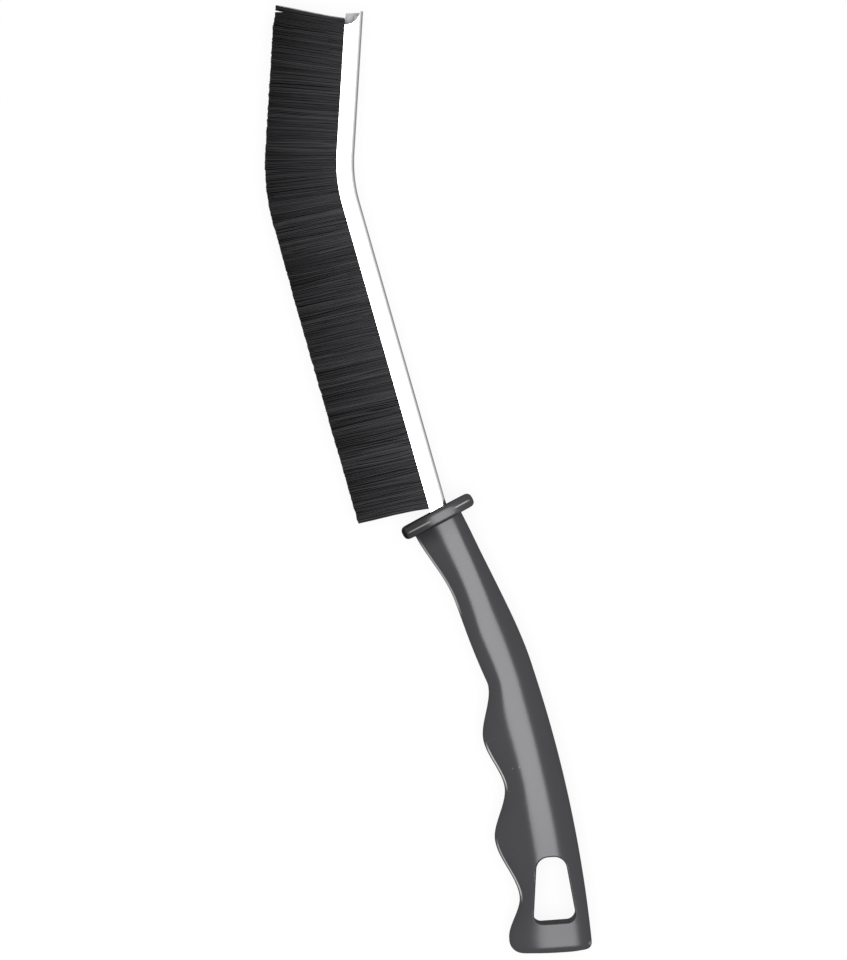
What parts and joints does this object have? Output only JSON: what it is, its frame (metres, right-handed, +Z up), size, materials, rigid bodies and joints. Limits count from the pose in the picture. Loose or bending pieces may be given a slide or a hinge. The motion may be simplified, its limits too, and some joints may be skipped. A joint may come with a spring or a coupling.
{
  "type": "grout brush",
  "caption": "Long narrow grout brush: stiff black filaments in a bent folded-steel strip, with a collar and a moulded grip with finger hollows and a hanging eye.",
  "frame": {"origin": "middle of the overall length and width, on the surface that the brush lies on", "axes": "+Y along the rear run of the strip from the grip towards the brush head, +X from the filaments to the back of the strip, +Z up, square to the flat of the brush"},
  "size_m": [0.0414, 0.2826, 0.0184],
  "materials": {
    "grip_plastic": "dark grey moulded polypropylene, satin, with a soft gloss",
    "strip_steel": "bright zinc-plated cold-rolled strip, smooth",
    "wire_steel": "plain drawn wire",
    "nylon": "black nylon filament, slightly glossy along its length"
  },
  "bodies": {
    "root": {"handle": "grip_plastic", "steel_strip": "strip_steel", "core_wire": "wire_steel", "front_filaments": "nylon", "bend_filaments": "nylon", "rear_filaments": "nylon"}
  },
  "joints": []
}
